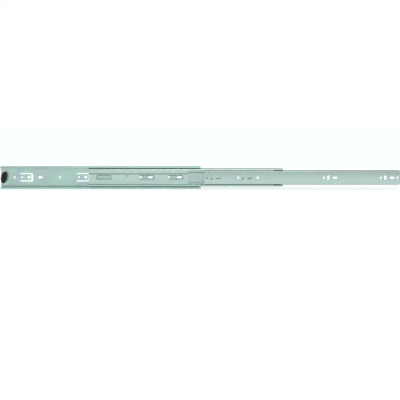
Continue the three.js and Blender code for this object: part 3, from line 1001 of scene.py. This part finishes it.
class SLIDE_OT_intermediate_member(bpy.types.Operator):
    """Rolls the intermediate member, with its pressed-up web, access slots and stops"""

    bl_idname = "slide.intermediate_member"
    bl_label = "Intermediate Member"

    def execute(self, context):
        gauge = sizes().middle_gauge / MM
        back = MIDDLE_BACK + STEP_RISE
        front = back + gauge
        start, end = INTERMEDIATE
        rail = along_slide("intermediate_member_rail", intermediate_section(), start, end)
        web = (back - 1, front + 1)
        stop = 50.0
        access = [(6.7,), (92.5,), (149.6,)]
        tools = [
            *hole_tools(level_slot(0, 0, SLOT_REACH, SLOT_WIDTH), access, *web),
            *hole_tools(round_hole(0, 0, 9), [(275,), (313.6,)], *web),
            through_web("stop", rectangle(stop + 0.4, stop + 5, 1.4, 4.6), *web),
            *(through_web("seat", rectangle(CLIP[0] - 0.3, end + 1, low, low + 2.4),
                          INNER_TRACK[0] + 0.6, DRAWER_FACE) for low in (13.0, -15.4)),
        ]
        cut(rail, tools)
        cut(rail, copies_of(sink_tool(front, gauge - 0.1), access))
        weld(rail, [
            tongue(stop, stop + 4.6, back + 0.1, front - 0.05, 1.7, 3, 1),
            *(through_web("cage_stop", rectangle(start + 0.2, start + 1.8, z - 1, z + 1),
                          1.9, MIDDLE_BACK + 0.3) for z in (15, -15)),
            *(through_web("lip_stop", round_hole(start + 6.5, z, 2), 11.7, 12.6)
              for z in (15.4, -15.4)),
        ])
        break_edges(rail, sizes().edge_break)
        # Both races are painted dark: grease, and painted shade in the gaps under the lips. The
        # inner race is darkened only where the drawer member runs in it, as painted shade for the
        # narrow gap between these lips and the drawer member.
        steel = zinc_steel("zinc_plated_steel_intermediate", 1.0, 0.22, 7.0,
                           [(OUTER_TRACK, OUTER_RACE, INTERMEDIATE),
                            (INNER_TRACK, DRAWER_RACE, (DRAWER[0], end))], patchiness=0.4)
        finish_piece(rail, steel, "intermediate", "intermediate_steel", "intermediate_member")
        return {"FINISHED"}


class SLIDE_OT_front_clips(bpy.types.Operator):
    """Moulds the two clips on the intermediate member's front ends"""

    bl_idname = "slide.front_clips"
    bl_label = "Front Clips"

    def execute(self, context):
        nylon = moulded("moulded_black_nylon", colours().nylon, 0.4, 0.3)
        plate_start = INTERMEDIATE[1] + 0.3
        for name, side in (("upper", 1), ("lower", -1)):
            strip = along_slide(f"front_clip_{name}_moulding", clip_section(4, side), CLIP[0],
                                plate_start + 0.2)
            plate = along_slide("plate", clip_section(110, side), plate_start, CLIP[1])
            weld(strip, [plate])
            break_edges(strip, 0.1 * MM)
            finish_piece(strip, nylon, "intermediate", "black_plastic", f"front_clip_{name}")
        return {"FINISHED"}


def clip_section(start, side):
    edge = LIP_END + 1
    half = [Arc(INNER_TRACK, 3.0, start, edge), Arc(INNER_TRACK, 1.95, edge, start)]
    return half if side > 0 else [mirrored(stretch) for stretch in reversed(half)]


DRAWER_CORNER = 4.0


def corner_outlines(x, side):
    """What the rounding of two corners takes off at one end, whose outside lies along side * x."""
    radius = DRAWER_CORNER
    beyond = x + side * 2
    outline = [
        Arc((x - side * radius, SHOULDER_HEIGHT - radius), radius, 90, 90 - side * 90),
        (beyond, SHOULDER_HEIGHT - radius),
        (beyond, SHOULDER_HEIGHT + 2),
        (x - side * radius, SHOULDER_HEIGHT + 2),
    ]
    return outline, [mirrored(stretch) for stretch in reversed(outline)]


class SLIDE_OT_drawer_member(bpy.types.Operator):
    """Folds the drawer member, with its groups of screw holes and its rounded nose"""

    bl_idname = "slide.drawer_member"
    bl_label = "Drawer Member"

    def execute(self, context):
        gauge = sizes().drawer_gauge / MM
        hole, slot = sizes().screw_hole / MM, sizes().slot_length / MM
        start, end = DRAWER
        rail = along_slide("drawer_member_rail", drawer_section(), start, end)
        web = (DRAWER_FACE - gauge - 1, DRAWER_FACE + 1)
        groups = [start + x for x in (5.8, 68, 238.8, 352.4)]
        singles = [(x,) for x in (*groups, start + 106.6, start + 385.2)]
        nose = 3.0
        tools = [
            *hole_tools(round_hole(0, 0, hole), singles, *web),
            *hole_tools(upright_slot(0, 0, slot, hole), [(x + 8.6,) for x in groups], *web),
            *hole_tools(level_slot(0, 0, slot, hole), [(x + 22.3,) for x in groups], *web),
            through_web("nose", rectangle(end - nose, end + 1, -16, 16), DRAWER_FOOT - 1,
                        DRAWER_FACE - gauge),
        ]
        cut(rail, tools)
        cut(rail, [through_web("corner", outline, DRAWER_FOOT - 1, DRAWER_FACE + 1)
                   for outline in (*corner_outlines(start, -1), *corner_outlines(end, 1))])
        break_edges(rail, sizes().edge_break)
        # The race is painted dark: grease, and painted shade in the gap under the intermediate
        # member's lips.
        steel = zinc_steel("zinc_plated_steel_drawer", 1.0, 0.3, 13.0,
                           [(INNER_TRACK, DRAWER_RACE, DRAWER)],
                           patchiness=0.2, crown=3.0)
        finish_piece(rail, steel, "drawer", "drawer_steel", "drawer_member")
        return {"FINISHED"}


class SLIDE_OT_balls(bpy.types.Operator):
    """Laps the balls and drops one in every pocket of both cages"""

    bl_idname = "slide.balls"
    bl_label = "Balls"

    def execute(self, context):
        steel = ball_steel()
        rows = (("outer", OUTER_TRACK, OUTER_BALLS, sizes().outer_ball),
                ("inner", INNER_TRACK, INNER_BALLS, sizes().inner_ball))
        for kind, track, places, diameter in rows:
            model = lap_ball(diameter, track)
            for side_name, lift in (("upper", 0), ("lower", -2 * track[1])):
                for number, x in enumerate(places, start=1):
                    node = f"{kind}_ball_{side_name}_{number:02d}"
                    ball = copy_at(model, x, lift)
                    ball.name = f"{node}_lapped"
                    nodes = [node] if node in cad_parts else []
                    finish_piece(ball, steel, f"{kind}_cage", "ball_steel", *nodes, smooth=60)
            discard(model)
        return {"FINISHED"}


def lap_ball(diameter, track):
    """A cube cut up and rounded to a ball, whose faces are all of like size."""
    bpy.ops.object.select_all(action="DESELECT")
    bpy.ops.mesh.primitive_cube_add(size=diameter)
    ball = bpy.context.object
    bpy.ops.object.mode_set(mode="EDIT")
    bpy.ops.mesh.select_all(action="SELECT")
    bpy.ops.mesh.subdivide(number_cuts=4)
    bpy.ops.transform.tosphere(value=1.0)
    radius = bmesh.from_edit_mesh(ball.data).verts[:1][0].co.length
    bpy.ops.transform.resize(value=(diameter / 2 / radius,) * 3)
    bpy.ops.object.mode_set(mode="OBJECT")
    bpy.ops.transform.translate(value=Vector((0, -track[0], track[1])) * MM)
    bpy.ops.object.transform_apply(location=True, rotation=True, scale=True)
    return ball


OPERATORS = (
    SLIDE_OT_stage,
    SLIDE_OT_cabinet_member,
    SLIDE_OT_rear_bumper,
    SLIDE_OT_outer_cage,
    SLIDE_OT_intermediate_member,
    SLIDE_OT_front_clips,
    SLIDE_OT_inner_cage,
    SLIDE_OT_drawer_member,
    SLIDE_OT_balls,
)


class SLIDE_PT_parts(bpy.types.Panel):
    """Lists the slide's pieces in the order they are made"""

    bl_idname = "SLIDE_PT_parts"
    bl_label = "Drawer Slide"
    bl_space_type = "VIEW_3D"
    bl_region_type = "UI"
    bl_category = "Drawer Slide"

    def draw(self, context):
        column = self.layout.column(align=True)
        for operator in OPERATORS:
            column.operator(operator.bl_idname)
        for group in (context.scene.slide_sizes, context.scene.slide_colours):
            box = self.layout.box()
            for name in group.__annotations__:
                box.prop(group, name)


CLASSES = (SlideSizes, SlideColours, *OPERATORS, SLIDE_PT_parts)


def register():
    for cls in CLASSES:
        bpy.utils.register_class(cls)
    bpy.types.Scene.slide_sizes = bpy.props.PointerProperty(type=SlideSizes)
    bpy.types.Scene.slide_colours = bpy.props.PointerProperty(type=SlideColours)


def unregister():
    del bpy.types.Scene.slide_colours
    del bpy.types.Scene.slide_sizes
    for cls in reversed(CLASSES):
        bpy.utils.unregister_class(cls)


def main():
    register()
    for operator in OPERATORS:
        group, name = operator.bl_idname.split(".")
        getattr(getattr(bpy.ops, group), name)()


if __name__ == "__main__":
    main()
